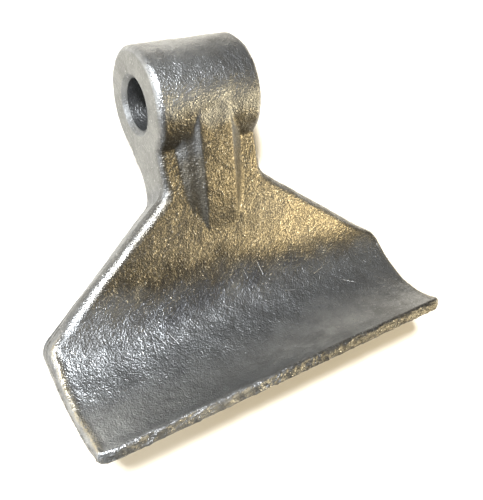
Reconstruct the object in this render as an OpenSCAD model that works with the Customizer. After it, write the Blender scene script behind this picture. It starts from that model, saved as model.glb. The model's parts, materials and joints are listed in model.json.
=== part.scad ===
// Flail mower hammer, forged in one piece: a pin eye, a neck with a gusset rib and a scooped cutting blade.
// Millimetres. The hammer lies on its back: X runs along the pin bore, -Y points to the cutting edge,
// Z is up, and the origin is the middle of the pin bore.

/* [Eye] */
// Outside diameter of the pin eye
eye_od = 45; // [38:0.5:60]
// Width of the eye between its ground side faces
eye_w = 46; // [30:0.5:60]
// Pin bore, for an M20 pin or bolt
bore_d = 20.5; // [12:0.1:27]
// Chamfer at both mouths of the bore
bore_chamfer = 1.8; // [0.5:0.1:3]
// Rounding of the eye's outer edges
eye_edge_r = 3; // [1:0.25:5]

/* [Neck] */
// Bore centre to the shoulder, where the flanks leave the neck
shoulder_y = 37.5; // [32:0.5:48]
// Rounding in the corner between neck and flank
shoulder_r = 7; // [3:0.5:10]
// How deep the back of the neck is waisted behind the eye
waist_depth = 5.8; // [2:0.1:7]
// Bore centre to the deepest point of the waist
waist_y = 25; // [24:0.5:28]
// Radius of the waist
waist_r = 17.5; // [14:0.5:22]
// Rounding of the front edges, down the neck and along the flanks
front_edge_r = 4.5; // [2:0.25:6]

/* [Gusset rib] */
// Width of the rib at its top
rib_w = 16.5; // [12:0.5:20]
// Bevel along the rib's top edges
rib_bevel = 1; // [0.4:0.2:3]
// Slant of the rib's side walls from upright
rib_draft = 46; // [20:1:55]
// Bore centre to the foot of the rib, on the blade
rib_foot_y = 56; // [50:0.5:60]
// Length of the steep end of the rib
rib_end = 11; // [6:0.5:16]
// Fall of the rib's top face from the eye
rib_fall = 24.5; // [18:0.5:28]

/* [Blade] */
// Width of the cutting edge
blade_w = 158.5; // [110:0.5:200]
// Bore centre to the blade's upper corners
corner_y = 79; // [70:0.5:84]
// Rounding of the upper corners, seen from the front
corner_r = 8; // [3:0.5:12]
// Fall of the blade's flat front face towards the scoop
face_fall = 16.5; // [12:0.5:20]
// Slant of the blade's end walls, which widen towards the back
end_draft = 3; // [1:0.5:8]

/* [Scoop lip] */
// Bore centre to the cutting edge
reach = 118.6; // [108:0.2:130]
// Height of the cutting edge above the back of the blade
lip_h = 43.4; // [36:0.2:48]
// Radius of the back of the lip
back_r = 56; // [52:0.5:62]
// Radius of the hollow in front
scoop_r = 38; // [34:0.5:42]
// Thickness at the cutting edge
edge_t = 5.5; // [3:0.25:8]
// Rounding of the cutting edge's two ends
edge_corner_r = 3.5; // [1:0.5:10]

/* [Hidden] */
$fn = 96;
forge_grey = [0.42, 0.42, 0.40];
// Facets in a rounded corner of the outline
arc_steps = 10;
// Overrun of a cutting body past what it cuts
over = 1;
// Overrun of the flank's round, over the rise of the hollow at the upper corners
hollow_rise = 6;
// Lap of the flank's round over the shoulder's
shoulder_lap = 2;
// How far the rib's top face runs below the top of the barrel, so that they meet in a clean line
rib_sink = 0.4;
// Depth of the rib's root inside the neck
rib_root = 3;
eye_r = eye_od / 2;
bore_r = bore_d / 2;
half_eye = eye_w / 2;
half_blade = blade_w / 2;
// Level of the surface that the hammer lies on
rest_z = -eye_r;
// Slope of the lip where it ends
lip_angle = acos(1 - lip_h / back_r);
lip_dir = [sin(lip_angle), -cos(lip_angle)];
edge = [reach, rest_z + lip_h];
back_c = edge - back_r * lip_dir;
scoop_c = edge - (edge_t + scoop_r) * lip_dir;
// Where the flat front face runs into the hollow
tangent = scoop_c - scoop_r * [sin(face_fall), cos(face_fall)];
lip_top = edge[1] + edge_t * cos(lip_angle);
// Height of the flat front face above the bore
face_z0 = tangent[1] + tangent[0] * tan(face_fall);
// Radius of the barrel's flat sides
core_r = eye_r - eye_edge_r;
// Start of the rib's root, inside the eye
root_y = eye_r * 0.6;
neck_back_z = rest_z * 0.55;
// Half the width of the blade's back, below the slanted end walls
half_back = half_blade + lip_h * tan(end_draft);
// Angle between the flanks and the length of the hammer, seen from above
flank_angle = atan2(half_back - half_eye, corner_y - shoulder_y);
flank_len = norm([half_back - half_eye, corner_y - shoulder_y]);
shoulder_run = shoulder_r * tan(flank_angle / 2);
corner_run = corner_r * tan(flank_angle / 2);
// Where the shoulder's curve starts, down the slope of the front face
turn_v = (shoulder_y - shoulder_run) / cos(face_fall);
// The flank's angle, measured in the sloping front face
face_flank_angle = atan(tan(flank_angle) * cos(face_fall));
// Distance of the bore's axis from the flat front face, and the place on the face nearest to it
face_dist = face_z0 * cos(face_fall);
near_y = face_dist * sin(face_fall);
// Where the neck's edges leave the flat side of the barrel, or run nearest to it if they stand clear
neck_edge_y = near_y + sqrt(max(core_r ^ 2 - face_dist ^ 2, 0)) * cos(face_fall);
// Where the rib's top face leaves the barrel
rib_start = (eye_r - rib_sink) * [sin(rib_fall), cos(rib_fall)];
rib_end_y = rib_foot_y - rib_end;
rib_len = rib_foot_y / cos(rib_fall);
rib_depth = eye_od;

// Height of the flat front face at a distance from the bore
function face_z(y) = face_z0 - y * tan(face_fall);
// Height of the rib's top face at a distance from the bore
function rib_z(y) = rib_start[1] - (y - rib_start[0]) * tan(rib_fall);
// Points of a round corner about a centre
function arc(c, r, a0, a1) =
    [for (i = [0:arc_steps]) let (a = a0 + (a1 - a0) * i / arc_steps) c + r * [cos(a), sin(a)]];

// Turns a side view, with distance from the bore across and height up, into a body along X
module across(w) {
    rotate([90, 0, -90])
        linear_extrude(height = w, center = true)
            children();
}

// Puts what is drawn flat onto the front face, with the origin above the bore and Z out of the face
module on_face() {
    translate([0, 0, face_z0])
        rotate([face_fall, 0, 0])
            children();
}

// What a round takes off a square corner at the origin, on the solid's right side
module corner_profile(r) {
    difference() {
        translate([-r, -r])
            square(r + over);
        translate([-r, -r])
            circle(r = r);
    }
}

// The eye: a barrel with rounded edges
module eye_barrel() {
    core_h = eye_w - 2 * eye_edge_r;
    rotate([0, 90, 0]) {
        cylinder(h = eye_w, r = core_r, center = true);
        cylinder(h = core_h, r = eye_r, center = true);
        for (side = [-1, 1])
            translate([0, 0, side * core_h / 2])
                rotate_extrude()
                    translate([core_r, 0])
                        circle(r = eye_edge_r);
    }
}

// The pin bore with a chamfer at each mouth
module bore_cut() {
    rotate([0, 90, 0])
        cylinder(h = eye_w + 2 * over, r = bore_r, center = true);
    for (side = [-1, 1])
        rotate([0, side * 90, 0])
            translate([0, 0, half_eye - bore_chamfer])
                cylinder(h = bore_chamfer + over, r1 = bore_r, r2 = bore_r + bore_chamfer + over);
}

// Side view of the neck and the flat of the blade, with the waist behind the eye
module neck_view() {
    difference() {
        polygon([
            [0, neck_back_z],
            [near_y, face_z(near_y)],
            tangent,
            [back_c[0], rest_z],
            [waist_y, rest_z]
        ]);
        translate([waist_y, rest_z + waist_depth - waist_r])
            circle(r = waist_r);
    }
}

// Side view of the lip, between the round of its back and the hollow
module lip_view() {
    far = scoop_c + 2 * back_r * lip_dir;
    difference() {
        intersection() {
            translate(back_c)
                circle(r = back_r);
            polygon([
                scoop_c,
                tangent,
                [back_c[0], rest_z],
                [back_c[0], rest_z - over],
                [far[0], rest_z - over],
                far
            ]);
        }
        translate(scoop_c)
            circle(r = scoop_r);
    }
}

// Front view of the neck and blade, as wide as the blade's back
module outline() {
    shoulder = [half_eye + shoulder_r, shoulder_y - shoulder_run];
    corner = [half_back - corner_r, corner_y + corner_run];
    half = concat(
        [[half_eye, 0]],
        arc(shoulder, shoulder_r, 180, 180 - flank_angle),
        arc(corner, corner_r, -flank_angle, 0),
        [[half_back, reach + over]]
    );
    last = len(half) - 1;
    polygon(concat(half, [for (i = [last:-1:0]) [-half[i][0], half[i][1]]]));
}

// The neck and blade, as high as the side view and as wide as the front view
module neck_and_blade() {
    intersection() {
        across(2 * half_back + 2 * over)
            union() {
                neck_view();
                lip_view();
            }
        mirror([0, 1, 0])
            linear_extrude(height = 4 * lip_h, center = true)
                outline();
    }
}

// The rib between the eye and the blade, with slanted side walls
module gusset_rib() {
    half_top = rib_w / 2;
    half_root = half_top + rib_depth * tan(rib_draft);
    intersection() {
        across(eye_w - 2 * eye_edge_r)
            polygon([
                [0, 0],
                rib_start,
                [rib_end_y, rib_z(rib_end_y)],
                [rib_foot_y, face_z(rib_foot_y)],
                [rib_foot_y, face_z(rib_foot_y) - rib_root],
                [root_y, 0]
            ]);
        rotate([90 + rib_fall, 0, 0])
            translate([0, eye_r - rib_sink, 0])
                linear_extrude(height = rib_len)
                    polygon([
                        [-half_top + rib_bevel, 0],
                        [half_top - rib_bevel, 0],
                        [half_top, -rib_bevel],
                        [half_root, -rib_depth],
                        [-half_root, -rib_depth],
                        [-half_top, -rib_bevel]
                    ]);
    }
}

// Round over the front face's edge down one side of the neck
module neck_round() {
    start_v = neck_edge_y / cos(face_fall);
    translate([half_eye, -start_v, 0])
        rotate([90, 0, 0])
            linear_extrude(height = turn_v - start_v)
                corner_profile(front_edge_r);
}

// Round over the front face's edge around one shoulder
module shoulder_round() {
    translate([half_eye + shoulder_r, -turn_v, 0])
        rotate([0, 0, 180])
            rotate_extrude(angle = face_flank_angle)
                translate([shoulder_r, 0])
                    difference() {
                        translate([-over, -front_edge_r])
                            square(front_edge_r + over);
                        translate([front_edge_r, -front_edge_r])
                            circle(r = front_edge_r);
                    }
}

// Round over the edge between the upright flank and the sloping front face, whose outward normals are wall and up
module flank_round() {
    wall = [cos(flank_angle), sin(flank_angle), 0];
    up = [0, -sin(face_fall), cos(face_fall)];
    down = cross(wall, up) / norm(cross(wall, up));
    side = cross(down, wall);
    // Normals and the round's centre, in the section across the edge
    up_flat = [up * wall, up * side];
    centre = -front_edge_r * ([1, 0] + up_flat) / (1 + up_flat[0]);
    start_y = shoulder_y + shoulder_run * cos(flank_angle);
    start_x = half_eye + shoulder_run * sin(flank_angle);
    multmatrix([
        [wall[0], side[0], down[0], start_x],
        [wall[1], side[1], down[1], -start_y],
        [wall[2], side[2], down[2], face_z(start_y)]
    ])
        translate([0, 0, -shoulder_lap])
            linear_extrude(height = flank_len + shoulder_lap)
                difference() {
                    polygon([
                        centre,
                        centre + [front_edge_r + over, 0],
                        over * [1, 0] + hollow_rise * up_flat,
                        centre + (front_edge_r + hollow_rise) * up_flat
                    ]);
                    translate(centre)
                        circle(r = front_edge_r);
                }
}

// What comes off one end of the blade: its slanted wall, and the round at the end of the cutting edge
module end_cut() {
    translate([half_blade, 0, lip_top]) {
        rotate([0, -end_draft, 0])
            translate([0, -2 * reach, -2 * lip_h])
                cube([blade_w, 4 * reach, 4 * lip_h]);
        translate([0, -scoop_c[0], 0])
            rotate([90, 0, 0])
                linear_extrude(height = reach)
                    corner_profile(edge_corner_r);
    }
}

// The neck and blade with their rounded edges and slanted ends
module finished_blade() {
    difference() {
        neck_and_blade();
        for (side = [0, 1])
            mirror([side, 0, 0]) {
                on_face() {
                    neck_round();
                    shoulder_round();
                }
                flank_round();
                end_cut();
            }
    }
}

module hammer_forging() {
    color(forge_grey)
        difference() {
            union() {
                eye_barrel();
                finished_blade();
                gusset_rib();
            }
            bore_cut();
        }
}

hammer_forging();
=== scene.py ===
import json
import math
import bpy
import bmesh
import numpy as np
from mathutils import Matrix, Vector


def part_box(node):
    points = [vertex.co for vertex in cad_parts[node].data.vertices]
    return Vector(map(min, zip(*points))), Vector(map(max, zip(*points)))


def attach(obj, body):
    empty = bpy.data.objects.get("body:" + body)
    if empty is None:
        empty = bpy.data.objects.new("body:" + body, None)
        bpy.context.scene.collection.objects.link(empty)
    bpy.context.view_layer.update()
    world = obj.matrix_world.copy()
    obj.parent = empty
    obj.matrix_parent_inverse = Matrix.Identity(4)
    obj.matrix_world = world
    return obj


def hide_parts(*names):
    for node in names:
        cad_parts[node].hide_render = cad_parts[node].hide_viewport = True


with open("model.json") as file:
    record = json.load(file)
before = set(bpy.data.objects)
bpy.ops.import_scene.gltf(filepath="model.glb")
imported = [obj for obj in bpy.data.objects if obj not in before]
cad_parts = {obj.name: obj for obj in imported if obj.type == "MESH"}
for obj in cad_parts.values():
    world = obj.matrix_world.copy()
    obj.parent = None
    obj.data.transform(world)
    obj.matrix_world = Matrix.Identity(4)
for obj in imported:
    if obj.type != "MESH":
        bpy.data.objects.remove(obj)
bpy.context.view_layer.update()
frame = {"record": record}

mm = 0.001
low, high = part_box("hammer_forging")
bore = next(m for m in frame["record"]["mounts"] if m["name"] == "pin_bore")
print("frame loaded")

# Side view: s runs from the bore to the cutting edge (world -Y), z is up. All in millimetres.
forging = {
    "eyeR": high[1] / mm, "halfEye": 23.0,
    "faceZ": 13.68, "faceFall": 16.5,          # flat front of the neck and blade
    "lipR": 56.0, "scoopR": 38.0, "lipAngle": 77.0, "edge": (-low[1] / mm, 20.9), "edgeT": 4.75,
    "waist": (25.0, -34.2, 17.5),              # centre and radius of the waist behind the neck
    "pocketR": 4.0, "waistR": 5.0,             # fillets under the eye, front and back
    "shoulderS": 37.5, "shoulderR": 7.0, "cornerS": 79.7, "cornerR": 8.0,
    "halfBack": 81.43, "endDraft": 1.0,
    "ribPlane": 22.46, "ribFall": 24.5, "ribFlat": 6.9, "ribSoft": 1.4,
    "ribWall": [(-3, 0), (0.2, 0), (2.0, 2.0), (5.6, 3.7), (7.0, 5.6), (24, 34)],   # stepped left wall
    "ribWallRight": [(-3, 0), (0.2, 0), (6.4, 6.0), (24, 34)],
    "ribTopS": 45.0, "ribFootS": 55.0, "ribFillet": 2.4,
    "tipR": 1.4, "edgeR": 3.0, "flankR": 4.2, "endR": 2.2, "backR": 2.5,       # rounded edges
    "crown": 1.1, "crownIn": 2.1,              # bulge of the lip's end face and its run-in at the front
    "stations": 240, "wallSteps": 20, "seed": 7,
}


def makeNoise(seed, count=36):
    # Sum of plane sine waves with random directions and phases, about -1 to 1; size is the wavelength.
    rng = np.random.default_rng(seed)
    ways = rng.normal(size=(count, 3))
    ways /= np.linalg.norm(ways, axis=1)[:, None]
    rates = rng.uniform(0.6, 1.7, count)
    phases = rng.uniform(0, 2 * np.pi, count)

    def noise(p, size):
        total = np.zeros(p.shape[:-1])
        for way, rate, phase in zip(ways, rates, phases):
            total += np.sin(p @ way * (2 * np.pi * rate / size) + phase)
        return total / math.sqrt(count / 2) / 1.6
    return noise


def arcPoints(centre, radius, startDeg, endDeg, step=0.5):
    # Points c + r(cos a, sin a) with a going evenly from start to end.
    count = max(3, int(abs(math.radians(endDeg - startDeg)) * radius / step) + 2)
    a = np.radians(np.linspace(startDeg, endDeg, count))
    return np.stack([centre[0] + radius * np.cos(a), centre[1] + radius * np.sin(a)], 1)


def resample(line, count):
    # The polyline read at count even steps of its own length.
    steps = np.r_[0, np.cumsum(np.linalg.norm(np.diff(line, axis=0), axis=1))]
    t = np.linspace(0, steps[-1], count)
    return np.stack([np.interp(t, steps, line[:, 0]), np.interp(t, steps, line[:, 1])], 1)


def relax(line, radius, step=0.25):
    # Corners softened by a running mean of the even polyline over about the radius; both ends stay put.
    fine = resample(line, int(np.linalg.norm(np.diff(line, axis=0), axis=1).sum() / step))
    reach = max(1, int(radius / step / 2))
    kernel = np.hanning(2 * reach + 3)[1:-1]
    kernel /= kernel.sum()
    pad = np.concatenate([2 * fine[0] - fine[reach:0:-1], fine, 2 * fine[-1] - fine[-2:-reach - 2:-1]])
    return np.stack([np.convolve(pad[:, k], kernel, "valid") for k in (0, 1)], 1)


def smoothStep(a, b, x):
    # 0 below a, 1 above b, a smooth S between them.
    t = np.clip((x - a) / (b - a), 0, 1)
    return t * t * (3 - 2 * t)


def smoothMax(a, b, k):
    # The larger of two, with the corner between them rounded over k.
    d = np.clip(k - np.abs(a - b), 0, None)
    return np.maximum(a, b) + d * d / (4 * k)


def smoothMin(a, b, k):
    # The smaller of two, rounded in the same way: smoothMax with both signs turned.
    return -smoothMax(-a, -b, k)


def sideCurves(f):
    # Front and back of the side view from the rearmost point of the eye to the lip, as matched station points.
    fall = math.radians(f["faceFall"])
    lip = math.radians(f["lipAngle"])
    lipWay = np.array([math.sin(lip), -math.cos(lip)])
    edge = np.array(f["edge"])
    backC = edge - f["lipR"] * lipWay
    scoopC = edge - (f["edgeT"] + f["scoopR"]) * lipWay
    tangent = scoopC - f["scoopR"] * np.array([math.sin(fall), math.cos(fall)])
    eyeR, d = f["eyeR"], f["faceZ"] * math.cos(fall)
    meet = np.array([d * math.sin(fall) + math.sqrt(eyeR * eyeR - d * d) * math.cos(fall), 0])
    meet[1] = f["faceZ"] - meet[0] * math.tan(fall)
    meetDeg = math.degrees(math.atan2(meet[1], meet[0]))
    wx, wz, wr = f["waist"]
    floorZ = -eyeR
    waistEnd = wx + math.sqrt(wr * wr - (floorZ - wz) ** 2)
    waistStart = wx - wr * 0.55
    frontEye = arcPoints((0, 0), eyeR, 180, meetDeg)
    frontFlat = np.array([meet, tangent])
    frontScoop = arcPoints(scoopC, f["scoopR"], -90 - f["faceFall"], f["lipAngle"] - 90)
    backEye = arcPoints((0, 0), eyeR, 180, 307)
    backWaist = arcPoints((wx, wz), wr, 122, math.degrees(math.atan2(floorZ - wz, waistEnd - wx)))
    backFlat = np.array([[waistEnd, floorZ], [backC[0], floorZ]])
    backLip = arcPoints(backC, f["lipR"], -90, f["lipAngle"] - 90)
    front = relax(np.concatenate([frontEye, frontFlat[1:], frontScoop[1:]]), f["pocketR"])
    back = relax(np.concatenate([backEye, backWaist, backFlat[1:], backLip[1:]]), f["waistR"])

    def cut(line, marks, counts):
        # The polyline read at even steps between the marks, so that both curves' stations match.
        s = np.r_[0, np.cumsum(np.linalg.norm(np.diff(line, axis=0), axis=1))]
        at = [0] + [s[np.argmin(np.linalg.norm(line - m, axis=1))] for m in marks] + [s[-1]]
        spans = [np.linspace(a, b, n, endpoint=False) for a, b, n in zip(at, at[1:], counts)]
        t = np.concatenate(spans + [[s[-1]]])
        return np.stack([np.interp(t, s, line[:, 0]), np.interp(t, s, line[:, 1])], 1)
    n = f["stations"]
    counts = [int(n * 0.27), int(n * 0.36), n - int(n * 0.27) - int(n * 0.36)]
    front = cut(front, [meet, tangent], counts)
    back = cut(back, [np.array([waistStart, -18.6]), np.array([backC[0] - 3, floorZ])], counts)
    return front, back, lipWay


def halfWidth(f, s, z):
    # Plan outline: straight neck, round shoulder, slanted flank, round corner and straight end,
    # less height times the tangent of the end's draft.
    hb, he = f["halfBack"], f["halfEye"]
    a = math.atan2(hb - he, f["cornerS"] - f["shoulderS"])
    sr, cr = f["shoulderR"], f["cornerR"]
    sRun, cRun = sr * math.tan(a / 2), cr * math.tan(a / 2)
    w = he + (s - f["shoulderS"]) * math.tan(a)
    s0, s1 = f["shoulderS"] - sRun, f["shoulderS"] + sRun * math.cos(a)
    w = np.where(s < s1, he + sr - np.sqrt(np.clip(sr * sr - (s - s0) ** 2, 0, None)), w)
    w = np.where(s < s0, he, w)
    c0, c1 = f["cornerS"] - cRun * math.cos(a), f["cornerS"] + cRun
    w = np.where(s > c0, hb - cr + np.sqrt(np.clip(cr * cr - (c1 - s) ** 2, 0, None)), w)
    w = np.where(s > c1, hb, w)
    draft = (z + f["eyeR"]) * math.tan(math.radians(f["endDraft"]))
    return w - draft * np.clip((s - c0) / 8, 0, 1)


def normals2d(line):
    # Outward-turned normals of a side curve that has the solid on its right.
    d = np.gradient(line, axis=0)
    d /= np.linalg.norm(d, axis=1)[:, None] + 1e-12
    return np.stack([-d[:, 1], d[:, 0]], 1)


def rowPlaces(w, roundX):
    # Positions across one row: fine over the rib's walls, even over the flat, by sine over the edge's round.
    rib = np.r_[np.linspace(0, 6.5, 7, endpoint=False), np.linspace(6.5, 15.5, 24, endpoint=False)]
    flat = np.linspace(0, 1, 44, endpoint=False)
    turn = np.sin(np.linspace(0, np.pi / 2, 14))
    w, roundX = w[:, None], roundX[:, None]
    x = np.concatenate([
        np.broadcast_to(rib, (len(w), len(rib))),
        15.5 + (w - roundX - 15.5) * flat,
        w - roundX + roundX * turn], 1)
    return np.concatenate([-x[:, :0:-1], x], 1)


def ribLift(f, x, s, z):
    # Height of the rib over a front point, along its own normal: the lower of its falling top and sloping end,
    # less the depth of its side wall, joined to the face by smoothMax.
    a = math.radians(f["ribFall"])
    n = np.array([math.sin(a), math.cos(a)])
    top = np.where(s > f["eyeR"] * n[0], f["ribPlane"] - (s * n[0] + z * n[1]), -0.05)
    fall = math.radians(f["faceFall"])
    ribZ = lambda q: (f["ribPlane"] - q * n[0]) / n[1]
    a0 = np.array([f["ribTopS"], ribZ(f["ribTopS"])])
    a1 = np.array([f["ribFootS"], f["faceZ"] - f["ribFootS"] * math.tan(fall)])
    m = np.array([a0[1] - a1[1], a1[0] - a0[0]])
    m /= np.linalg.norm(m)
    end = (a0 @ m - (s * m[0] + z * m[1])) / (n @ m)
    # Depth of the wall below the top, against the distance outside the flat
    side = np.abs(x) - f["ribFlat"]
    table = np.linspace(-3, 24, 541)
    bell = np.hanning(f["ribSoft"] * 40 // 2 * 2 + 1)

    def wall(corners):
        # Depth read from the corners, softened by a running mean.
        across, depth = np.array(corners).T
        padded = np.pad(np.interp(table, across, depth), len(bell) // 2, "edge")
        soft = np.convolve(padded, bell / bell.sum(), "valid")
        return np.interp(side, table, soft)
    drop = np.where(x < 0, wall(f["ribWall"]), wall(f["ribWallRight"]))
    height = smoothMin(top, end, 1.6)
    # The fillet at its foot is wide along the steep sides and narrow at the sloping end,
    # and dies out where the rib leaves the eye
    wide = np.clip(side / 2.5, 0, 1)
    k = (0.8 + (f["ribFillet"] - 0.8) * wide) * smoothStep(0, 3.5, height) + 0.03
    height = height - drop
    return smoothMax(height, np.zeros_like(height), k), n


def forgingMesh(f):
    # The whole hammer: matched rows of front and back points across X, joined by side walls
    # and the lip's end face.
    front, back, lipWay = sideCurves(f)
    nF, nB = normals2d(front), -normals2d(back)
    nF[0] = nB[0] = (-1, 0)                    # both rows meet at the rearmost point of the eye
    rows = len(front)
    shift = np.array([-lipWay[1], lipWay[0]]) * f["crown"]
    ease = smoothStep(rows * 0.8, rows - 1, np.arange(rows))[:, None]
    front, back = front - shift * ease, back - shift * ease

    # Distance to the lip's end along each curve, for the rounded tips of the edge
    left = np.linalg.norm(np.diff(front, axis=0), axis=1)[::-1].cumsum()[::-1]
    left = np.r_[left, 0]
    tip = f["tipR"] - np.sqrt(np.clip(f["tipR"] ** 2 - np.clip(f["tipR"] - left, 0, None) ** 2, 0, None))

    def surface(line, normal, isFront):
        # One side of the hammer: stations by places across, sunk at the edges by r - sqrt(r^2 - q^2),
        # plus the rib in front.
        s, z = line[:, 0], line[:, 1]
        w = halfWidth(f, s, z) - tip
        slope = np.gradient(halfWidth(f, s, 0 * z), s + np.arange(rows) * 1e-9)
        slope = np.where(np.isfinite(slope), np.clip(slope, 0, 1.5), 0)
        slope = np.where(s > f["shoulderS"] - 6, slope, 0)
        lean = np.cos(np.arctan(slope))
        r = np.interp(s, [28, 42, 76, 90], [f["edgeR"], f["flankR"], f["flankR"], f["endR"]])
        if not isFront:
            r = np.interp(s, [28, 45], [f["edgeR"], f["backR"]])
        # the round may not eat more than a third of the lip's own thickness
        r = np.minimum(r, np.linalg.norm(front - back, axis=1) * 0.42 + np.where(s < 0, 3, 0))
        x = rowPlaces(w, r / lean)
        q = np.clip((np.abs(x) - (w - r / lean)[:, None]) * lean[:, None], 0, r[:, None])
        sink = r[:, None] - np.sqrt(np.clip(r[:, None] ** 2 - q * q, 0, None))
        sunkS = s[:, None] - sink * normal[:, :1]
        sunkZ = z[:, None] - sink * normal[:, 1:]
        if isFront:
            lift, n = ribLift(f, x, sunkS, sunkZ)
            lift = np.where(s[:, None] > 2, lift, 0)
            sunkS, sunkZ = sunkS + lift * n[0], sunkZ + lift * n[1]
        return x, sunkS, sunkZ

    xF, sF, zF = surface(front, nF, True)
    xB, sB, zB = surface(back, nB, False)

    # Side walls: straight from the front row's end to the back row's, on the plan outline
    k = np.linspace(0, 1, f["wallSteps"])[None, :]
    sW = sF[:, -1:] + (sB[:, -1:] - sF[:, -1:]) * k
    zW = zF[:, -1:] + (zB[:, -1:] - zF[:, -1:]) * k
    wW = halfWidth(f, sW, zW) - tip[:, None]
    wW[:, 0], wW[:, -1] = xF[:, -1], xB[:, -1]
    # End face of the lip
    e = k.T
    near = np.minimum(e * f["edgeT"] / f["crownIn"], (1 - e) * f["edgeT"] / f["crown"])
    crown = f["crown"] * np.sqrt(np.clip(1 - np.clip(1 - near, 0, 1) ** 2, 0, 1))
    xE = xF[-1] + (xB[-1] - xF[-1]) * e
    sE = sF[-1] + (sB[-1] - sF[-1]) * e + crown * -lipWay[1]
    zE = zF[-1] + (zB[-1] - zF[-1]) * e + crown * lipWay[0]
    fade = smoothStep(0, 3.0, wW[-1, 0] - np.abs(xE))
    sE += crown * lipWay[1] * (1 - fade)
    zE -= crown * lipWay[0] * (1 - fade)
    # the end face's outer columns are the walls' last row, so that no seam stays open
    for column, side in ((-1, 1), (0, -1)):
        xE[:, column], sE[:, column], zE[:, column] = side * wW[-1], sW[-1], zW[-1]
    return (xF, sF, zF), (xB, sB, zB), (wW, sW, zW), (xE, sE, zE)


def gridFaces(offset, rows, cols, flip):
    # Quads of a rows by cols grid whose points start at offset.
    i = (np.arange(rows - 1)[:, None] * cols + np.arange(cols - 1)[None, :]).ravel() + offset
    quad = np.stack([i, i + 1, i + cols + 1, i + cols], 1)
    return quad[:, ::-1] if flip else quad


def buildForging(f):
    # The five grids of forgingMesh as one closed mesh, with doubles merged and normals turned out.
    parts = forgingMesh(f)
    points, faces, offset = [], [], 0

    def put(x, s, z, flip):
        # Adds a grid of points, and quads that point outwards.
        nonlocal offset
        points.append(np.stack([x, -s, z], -1).reshape(-1, 3))
        faces.append(gridFaces(offset, x.shape[0], x.shape[1], flip))
        offset += x.size
    (xF, sF, zF), (xB, sB, zB), (xW, sW, zW), (xE, sE, zE) = parts
    put(xF, sF, zF, True)
    put(xB, sB, zB, False)
    put(xW, sW, zW, True)
    put(-xW, sW, zW, False)
    put(xE, sE, zE, True)
    pts = np.concatenate(points) * mm
    mesh = bpy.data.meshes.new("hammer")
    mesh.from_pydata(pts.tolist(), [], np.concatenate(faces).tolist())
    bm = bmesh.new()
    bm.from_mesh(mesh)
    bmesh.ops.remove_doubles(bm, verts=bm.verts, dist=2e-6)
    bmesh.ops.dissolve_degenerate(bm, edges=bm.edges, dist=1e-6)
    bmesh.ops.recalc_face_normals(bm, faces=bm.faces)
    openEdges = sum(1 for edge in bm.edges if not edge.is_manifold)
    volume = round(bm.calc_volume() * 1e6, 1)
    print("forging:", len(bm.faces), "faces, open edges", openEdges, "volume cm3", volume)
    bm.to_mesh(mesh)
    bm.free()
    return mesh


hammer = bpy.data.objects.new("hammer", buildForging(forging))
bpy.context.scene.collection.objects.link(hammer)
for p in hammer.data.polygons:
    p.use_smooth = True


def cutBore(piece):
    # A turned cutter: radius against X, the bore's own inside and widening at both mouths, turned round X.
    r, half = bore["dims"]["r_mm"], forging["halfEye"]
    c = half - bore["dims"]["length_mm"] / 2
    profile = np.array([[-half - 3, 0], [-half - 3, r + c + 3], [-half, r + c], [-half + c, r],
                        [half - c, r], [half, r + c], [half + 3, r + c + 3], [half + 3, 0]])
    a = np.linspace(0, 2 * np.pi, 97)[:-1]
    ring = np.stack([np.repeat(profile[1:-1, 0][:, None], 96, 1),
                     profile[1:-1, 1][:, None] * np.cos(a), profile[1:-1, 1][:, None] * np.sin(a)], -1)
    pts = ring.reshape(-1, 3) * mm
    n = len(profile) - 2
    i = np.arange(n - 1)[:, None] * 96 + np.arange(96)[None, :]
    j = np.arange(n - 1)[:, None] * 96 + (np.arange(96) + 1)[None, :] % 96
    quads = np.stack([i, j, j + 96, i + 96], -1).reshape(-1, 4).tolist()
    caps = [list(range(95, -1, -1)), list(range((n - 1) * 96, n * 96))]
    mesh = bpy.data.meshes.new("cutter")
    mesh.from_pydata(pts.tolist(), [], quads + caps)
    bm = bmesh.new()
    bm.from_mesh(mesh)
    bmesh.ops.recalc_face_normals(bm, faces=bm.faces)
    bm.to_mesh(mesh)
    bm.free()
    cutter = bpy.data.objects.new("cutter", mesh)
    bpy.context.scene.collection.objects.link(cutter)
    cut = piece.modifiers.new("bore", "BOOLEAN")
    cut.operation, cut.solver, cut.object = "DIFFERENCE", "EXACT", cutter
    done = bpy.data.meshes.new_from_object(piece.evaluated_get(bpy.context.evaluated_depsgraph_get()))
    piece.modifiers.clear()
    piece.data = done
    bpy.data.objects.remove(cutter)


cutBore(hammer)
hammer.data.set_sharp_from_angle(angle=math.radians(38))
print("bore cut, faces", len(hammer.data.polygons))

skin = {
    "waves": ((19.0, 0.13), (7.0, 0.06), (2.6, 0.03)),   # wavelength and height of the forged unevenness, mm
    "shear": ((4.5, 0.22), (1.9, 0.16)),                 # the sheared lip end
    "burrIn": 1.7, "burrWide": 0.9, "burrHigh": 0.3,
    "trimDepth": 1.6, "trimWide": 1.1, "trimHigh": 0.38,     # flash line along the walls
}


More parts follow.
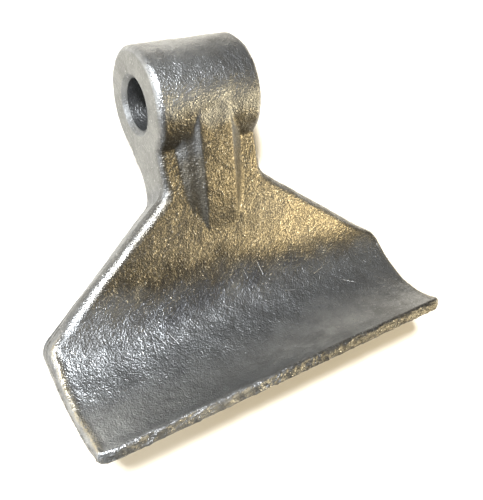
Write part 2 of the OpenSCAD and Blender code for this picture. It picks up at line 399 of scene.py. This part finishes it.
def finishSkin(piece, f, k):
    # Moves each vertex along its normal by summed noise, and writes the steel's nine masks,
    # each a product of smooth steps of place and normal.
    mesh = piece.data
    count = len(mesh.vertices)
    co = np.empty(count * 3)
    mesh.vertices.foreach_get("co", co)
    co = co.reshape(-1, 3) / mm
    nor = np.empty(count * 3)
    mesh.vertex_normals.foreach_get("vector", nor)
    nor = nor.reshape(-1, 3)
    x, s, z = co[:, 0], -co[:, 1], co[:, 2]
    inBore = smoothStep(0.6, 0.2, np.hypot(s, z) - bore["dims"]["r_mm"] - 1.8)
    w = halfWidth(f, s, z)
    slanted = (s > 34) * (s < 82) * (np.abs(nor[:, 0]) > 0.5)
    onWall = smoothStep(0.7, 0.95, np.hypot(nor[:, 0], slanted * nor[:, 1]))
    ground = smoothStep(0.9, 0.98, np.abs(nor[:, 0])) * smoothStep(36, 30, s) * (np.abs(x) > f["halfEye"] - 0.4)
    lip = math.radians(f["lipAngle"])
    endWay = np.array([math.cos(lip), math.sin(lip)])
    toEnd = (f["edge"][0] - s) * endWay[0] + (f["edge"][1] - z) * endWay[1]
    shear = smoothStep(0.85, 0.15, toEnd)
    noises = [makeNoise(f["seed"] + 10 + i, 40) for i in range(6)]
    move = sum(h * noises[i](co, size) for i, (size, h) in enumerate(k["waves"]))
    move *= (1 - ground) * (1 - 0.6 * shear)
    move += shear * sum(h * noises[3 + i](co, size) for i, (size, h) in enumerate(k["shear"]))
    # flash line: distance down the wall from the front edge's round
    fall = math.tan(math.radians(f["faceFall"]))
    frontZ = np.where(s < 66, f["faceZ"] - s * fall, scoopHeight(f, s))
    below = frontZ - z - np.interp(s, [28, 42, 76, 90], [f["edgeR"], f["flankR"], f["flankR"], f["endR"]])
    line = np.exp(-((below - k["trimDepth"] - 0.5 * noises[5](co, 14.0)) / k["trimWide"]) ** 2)
    line *= onWall * smoothStep(36, 42, s)
    move += line * k["trimHigh"] * (0.55 + 0.6 * noises[4](co, 2.3))
    # trimmed burr: a ragged ridge on the front rim of the blade's two ends, with a shallow groove inside it
    inside = w - np.abs(x) + 0.35 * noises[3](co, 11.0)
    onEnd = smoothStep(74, 80, s) * smoothStep(0.4, 2.4, toEnd) * smoothStep(2.5, 0.5, np.abs(frontZ - z))
    burr = np.exp(-((inside - k["burrIn"]) / k["burrWide"]) ** 2) * onEnd
    burr *= smoothStep(0.97, 0.8, np.abs(nor[:, 0]))
    groove = np.exp(-((inside - k["burrIn"] - 1.5 * k["burrWide"]) / (0.6 * k["burrWide"])) ** 2) * onEnd
    burr *= 0.35 + 0.65 * smoothStep(20, -20, x)
    move += burr * k["burrHigh"] * (0.7 + 0.5 * noises[4](co, 2.6)) - 0.3 * groove
    move *= 1 - inBore
    co += nor * move[:, None]
    mesh.vertices.foreach_set("co", (co * mm).ravel())
    drift = 2.5 * noises[2](co, 17.0) + 1.2 * noises[1](co, 6.0)
    slant = np.where(x > 0, 0.12, 0.07) * x              # the painted warm reflection and the painted shade in the bend reach further down on the right
    # warm: painted warm reflection on the up-facing front of neck, rib and blade, with a little olive scale
    # tone; none on side-facing surfaces or in the bore
    warm = smoothStep(11.0, 19.0, s - 0.05 * x + drift) * smoothStep(78 + slant, 67 + slant, s + drift)
    onRib = smoothStep(19, 15, np.abs(x)) * smoothStep(24, 29, s) * smoothStep(60, 56, s)
    warm *= smoothStep(-0.1, 0.35, nor[:, 2]) * (1 - inBore)
    warm *= 1 - 0.75 * smoothStep(0.22, 0.6, np.abs(nor[:, 0])) * (1 - 0.8 * onRib)
    rust = smoothStep(-35.0, 20.0, x + 8 * noises[0](co, 30.0)) * smoothStep(1.7, 1.0, toEnd)
    # drilled: the bore's wall and the inner chamfer, made darker in the colour
    drilled = inBore * smoothStep(0.9, 0.1, np.hypot(s, z) - bore["dims"]["r_mm"])
    # painted highlight along the front rims and round the eye (the rims are also a little smoother), painted
    # shade in the bend and near the eye, painted light on the lip and the top of the eye, and the warm area
    # painted lighter on the right and darker on the left
    rim = np.interp(s, [28, 42, 76, 90], [f["edgeR"], f["flankR"], f["flankR"], f["endR"]])
    lean = np.interp(s, [33, 37, 74, 80], [1, 0.58, 0.58, 1])
    worn = np.exp(-((inside * lean / rim - 0.40) / 0.20) ** 2)
    worn *= smoothStep(5, 2.5, np.abs(frontZ - z)) * smoothStep(34, 40, s)
    eyeRimHighlight = np.exp(-((inside / 3 - 0.45) / 0.35) ** 2)
    eyeRimHighlight *= smoothStep(20, 8, np.abs(s - 4)) * smoothStep(-4, 6, z)
    worn = np.clip(worn * smoothStep(100, 84, s) + eyeRimHighlight, 0, 1) * (1 - inBore)
    isFront = smoothStep(-0.05, 0.25, nor[:, 2] + 0.8 * nor[:, 1] * (s > 80))
    # painted shade in the bend and near the eye, painted light on the lip and the top of the eye
    bend = smoothStep(62 + slant, 71 + slant, s + drift) * isFront
    bend *= smoothStep(90 - 0.05 * x, 78 - 0.05 * x, s + drift)
    eyeTop = smoothStep(13, 5, s + drift) * smoothStep(32, -12, x) * isFront
    lipLight = smoothStep(96, 106, s + drift) * isFront
    shade = 0.5 - 0.45 * bend * smoothStep(-75, -20, x) + (0.38 - 0.3 * smoothStep(10, 60, x)) * lipLight
    shade += 0.34 * eyeTop * (1 - ground) - 0.2 * warm * smoothStep(33, 22, s) - 0.1 * warm * onRib
    shade += 0.25 * warm * smoothStep(5, 40, x) - 0.22 * warm * smoothStep(5, -45, x)
    shade = np.clip(shade, 0, 1)
    masks = {
        "worn": worn, "shade": shade, "ground": ground, "shear": shear, "trim": np.clip(line + groove, 0, 1),
        "warm": warm, "burr": burr, "rust": rust, "drilled": drilled,
    }
    for name, mask in masks.items():
        layer = mesh.attributes.new(name, "FLOAT", "POINT")
        layer.data.foreach_set("value", np.ascontiguousarray(mask, dtype=np.float32))
    mesh.update()


def scoopHeight(f, s):
    # Height of the front surface past the flat: the scoop's circle, or the lip's end beyond it.
    lip = math.radians(f["lipAngle"])
    c = np.array(f["edge"]) - (f["edgeT"] + f["scoopR"]) * np.array([math.sin(lip), -math.cos(lip)])
    return c[1] - np.sqrt(np.clip(f["scoopR"] ** 2 - (s - c[0]) ** 2, 60, None))


finishSkin(hammer, forging, skin)
print("skin roughened")

steel = bpy.data.materials.new("forgedSteel")
steel.use_nodes = True
nodes, links = steel.node_tree.nodes, steel.node_tree.links
shader = nodes["Principled BSDF"]


def add(kind, **values):
    # A new node, with each value set on the node itself or on its input of that name.
    node = nodes.new(kind)
    for key, value in values.items():
        if hasattr(node, key):
            setattr(node, key, value)
        else:
            node.inputs[key].default_value = value
    return node


def noiseAt(size, detail=3.0, rough=0.6, seed=0.0):
    # Noise on Object coordinates; size is the feature size in millimetres.
    tex = add("ShaderNodeTexNoise", noise_dimensions="4D")
    tex.inputs["W"].default_value = seed
    tex.inputs["Scale"].default_value = 1000.0 / size
    tex.inputs["Detail"].default_value = detail
    tex.inputs["Roughness"].default_value = rough
    links.new(place.outputs["Object"], tex.inputs["Vector"])
    return tex.outputs["Fac"]


def stretch(value, a, b, c=0.0, d=1.0):
    # The range a to b made c to d, clamped.
    node = add("ShaderNodeMapRange")
    for i, number in enumerate((a, b, c, d)):
        node.inputs[1 + i].default_value = number
    links.new(value, node.inputs["Value"])
    return node.outputs["Result"]


def calc(kind, a, b):
    # A Math node on two numbers or sockets.
    node = add("ShaderNodeMath", operation=kind)
    for i, v in enumerate((a, b)):
        if isinstance(v, (int, float)):
            node.inputs[i].default_value = v
        else:
            links.new(v, node.inputs[i])
    return node.outputs[0]


def blend(factor, a, b, kind="MIX"):
    # From colour a to colour b by the factor.
    node = nodes.new("ShaderNodeMix")
    node.data_type, node.blend_type = "RGBA", kind
    for i, v in ((0, factor), (6, a), (7, b)):
        if isinstance(v, (int, float, tuple)):
            node.inputs[i].default_value = v
        else:
            links.new(v, node.inputs[i])
    return node.outputs[2]


def maskOf(name):
    # The mask that finishSkin wrote under this name.
    return add("ShaderNodeAttribute", attribute_name=name).outputs["Fac"]


def scratch(start, end, wide):
    # 1 within the given distance of the segment from start to end, fading out; millimetres in X and Y.
    a, b = Vector(start), Vector(end)
    length = (b - a).length
    way = (b - a) / length
    aside = Vector((-way[1], way[0]))

    def along(axis):
        # Distance in millimetres along an axis in the XY plane, by dot product.
        dot = add("ShaderNodeVectorMath", operation="DOT_PRODUCT")
        links.new(place.outputs["Object"], dot.inputs[0])
        dot.inputs[1].default_value = (axis[0] / mm, axis[1] / mm, 0)
        return dot.outputs["Value"]
    fromMiddle = calc("ABSOLUTE", calc("SUBTRACT", along(way), a.dot(way) + length / 2), 0)
    t = stretch(fromMiddle, length / 2, length / 2 * 0.55)
    bow = calc("MULTIPLY", stretch(t, 0.0, 1.0, 0.0, 0.25), length / 8)
    d = calc("ABSOLUTE", calc("SUBTRACT", calc("SUBTRACT", along(aside), a.dot(aside)), bow), 0)
    return calc("MULTIPLY", t, stretch(d, wide, wide * 0.3))


# bare: bare metal for grain specks and scratches, and the colour of the painted rim highlight
tone = {
    "grey": (0.235, 0.245, 0.255, 1), "dark": (0.16, 0.165, 0.17, 1), "olive": (0.25, 0.225, 0.17, 1),
    "oliveDark": (0.12, 0.108, 0.085, 1), "bare": (0.50, 0.51, 0.52, 1), "sheared": (0.22, 0.22, 0.215, 1),
    "groundGrey": (0.265, 0.27, 0.265, 1), "groundDark": (0.20, 0.205, 0.20, 1),
    "brown": (0.055, 0.05, 0.04, 1), "brass": (0.55, 0.48, 0.33, 1),
}
place = add("ShaderNodeTexCoord")
blotch = noiseAt(9.0, 4.0, 0.62, 1.3)
patch = noiseAt(28.0, 2.0, 0.5, 4.1)
grain = noiseAt(0.75, 2.0, 0.6, 2.2)
pits = noiseAt(0.42, 1.0, 0.5, 7.7)
colour = blend(stretch(blotch, 0.40, 0.62), tone["grey"], tone["dark"])
# painted warm reflection, with a little olive scale tone, where the warm mask is
colour = blend(calc("MULTIPLY", maskOf("warm"), stretch(patch, 0.25, 0.6, 0.75, 1.0)), colour,
               blend(stretch(grain, 0.38, 0.60), tone["oliveDark"], tone["olive"]))
# darker and lighter copies of the colour, chosen by the shade mask: painted shade and painted light
darker = blend(1.0, colour, (0.42, 0.42, 0.44, 1), "MULTIPLY")
lighter = blend(1.0, colour, (1.75, 1.75, 1.75, 1), "MULTIPLY")
colour = blend(stretch(maskOf("shade"), 0.0, 0.5), darker, colour)
colour = blend(stretch(maskOf("shade"), 0.5, 1.0), colour, lighter)
# painted highlight along the front rims and round the eye
colour = blend(calc("MULTIPLY", maskOf("worn"), stretch(blotch, 0.62, 0.4, 0.15, 0.7)), colour, tone["bare"])
groundTone = blend(stretch(blotch, 0.4, 0.62), tone["groundGrey"], tone["groundDark"])
colour = blend(maskOf("ground"), colour, groundTone)
colour = blend(calc("MULTIPLY", maskOf("trim"), stretch(grain, 0.3, 0.6, 1.0, 0.2)), colour, tone["brown"])
colour = blend(calc("MULTIPLY", maskOf("shear"), stretch(grain, 0.42, 0.6)), colour, tone["sheared"])
colour = blend(calc("MULTIPLY", maskOf("rust"), stretch(grain, 0.3, 0.6, 1.0, 0.45)), colour, tone["brown"])
colour = blend(calc("MULTIPLY", maskOf("burr"), stretch(grain, 0.35, 0.5, 0.0, 0.65)), colour, tone["brass"])
# darker over the bore's wall
colour = blend(calc("MULTIPLY", maskOf("drilled"), 0.6), colour, tone["dark"])
colour = blend(stretch(grain, 0.61, 0.76), colour, tone["bare"])
scratches = [  # start and end in X and Y, and width, mm
    ((-36.5, -88.5), (-34.0, -94.5), 0.35), ((-41.5, -88.0), (-38.5, -93.0), 0.28),
    ((12.5, -73.0), (13.5, -81.0), 0.30), ((5.0, -74.5), (6.0, -79.5), 0.22),
    ((20.5, -90.0), (26.0, -91.5), 0.25), ((38.0, -88.0), (44.0, -86.5), 0.2),
    ((-12.0, -86.0), (-5.0, -89.0), 0.22), ((49.0, -94.0), (56.0, -98.0), 0.2),
    ((-58.0, -97.0), (-52.0, -99.5), 0.2),
]
marks = 0.0
for start, end, wide in scratches:
    marks = calc("MAXIMUM", marks, scratch(start, end, wide))
colour = blend(calc("MULTIPLY", marks, 0.8), colour, tone["bare"])
links.new(colour, shader.inputs["Base Color"])
shader.inputs["Metallic"].default_value = 0.92
rough = calc("ADD", stretch(grain, 0.35, 0.7, 0.42, 0.28), stretch(blotch, 0.35, 0.65, -0.04, 0.06))
rough = calc("SUBTRACT", rough, calc("MULTIPLY", maskOf("worn"), 0.08))
links.new(rough, shader.inputs["Roughness"])
relief = calc("ADD", calc("MULTIPLY", grain, 1.0), calc("MULTIPLY", pits, 0.45))
relief = calc("SUBTRACT", relief, calc("MULTIPLY", marks, 0.9))
relief = calc("ADD", relief, calc("MULTIPLY", noiseAt(2.2, 2.0, 0.5, 9.0), 0.7))
bump = add("ShaderNodeBump")
bump.inputs["Strength"].default_value = 1.0
bump.inputs["Distance"].default_value = 0.0003
links.new(relief, bump.inputs["Height"])
links.new(bump.outputs["Normal"], shader.inputs["Normal"])
hammer.data.materials.clear()
hammer.data.materials.append(steel)
print("steel ready")

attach(hammer, "root")
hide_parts("hammer_forging")

floorMesh = bpy.data.meshes.new("floor")
floorMesh.from_pydata([(-3, -3, low[2]), (3, -3, low[2]), (3, 3, low[2]), (-3, 3, low[2])], [], [(0, 1, 2, 3)])
floor = bpy.data.objects.new("floor", floorMesh)
bpy.context.scene.collection.objects.link(floor)
paper = bpy.data.materials.new("paper")
paper.use_nodes = True
paper.node_tree.nodes["Principled BSDF"].inputs["Base Color"].default_value = (0.9, 0.855, 0.77, 1)
paper.node_tree.nodes["Principled BSDF"].inputs["Roughness"].default_value = 0.8
floorMesh.materials.append(paper)

lamps = [  # name, place, aimed at, size, watts, colour
    ("key", (-0.50, 0.42, 1.15), (0, -0.05, 0), 0.14, 30, (0.98, 0.99, 1.0)),
    ("left", (-1.0, 0.1, 0.4), (0, -0.04, 0), 0.7, 7, (0.95, 0.98, 1.0)),
    ("warm", (1.20, -0.78, 0.68), (0, -0.04, 0), 0.45, 18, (1.0, 0.82, 0.50)),
]
for name, spot, aim, size, watts, tint in lamps:
    data = bpy.data.lights.new(name, "AREA")
    data.size, data.energy, data.color = size, watts, tint
    lamp = bpy.data.objects.new(name, data)
    lamp.location = spot
    lamp.rotation_euler = (Vector(aim) - Vector(spot)).to_track_quat("-Z", "Y").to_euler()
    bpy.context.scene.collection.objects.link(lamp)

world = bpy.data.worlds.new("studio")
bpy.context.scene.world = world
world.use_nodes = True
sky = world.node_tree
dim = sky.nodes["Background"]
dim.inputs["Color"].default_value = (1.0, 0.94, 0.84, 1)
dim.inputs["Strength"].default_value = 0.19
pale = sky.nodes.new("ShaderNodeBackground")            # what the camera sees behind the floor
pale.inputs["Color"].default_value = (1.0, 0.99, 0.97, 1)
seen = sky.nodes.new("ShaderNodeLightPath")
mixed = sky.nodes.new("ShaderNodeMixShader")
sky.links.new(seen.outputs["Is Camera Ray"], mixed.inputs[0])
sky.links.new(dim.outputs[0], mixed.inputs[1])
sky.links.new(pale.outputs[0], mixed.inputs[2])
sky.links.new(mixed.outputs[0], sky.nodes["World Output"].inputs["Surface"])

camera = bpy.data.objects.new("camera", bpy.data.cameras.new("camera"))
camera.data.lens = 43.72
camera.data.sensor_width = 36
camera.location = (-0.1145, -0.0563, 0.2222)
camera.rotation_euler = [math.radians(turn) for turn in (6.72, -27.28, -19.50)]
camera.data.clip_start, camera.data.clip_end = 0.005, 20
bpy.context.scene.collection.objects.link(camera)
bpy.context.scene.camera = camera
bpy.context.scene.view_settings.view_transform = "Standard"
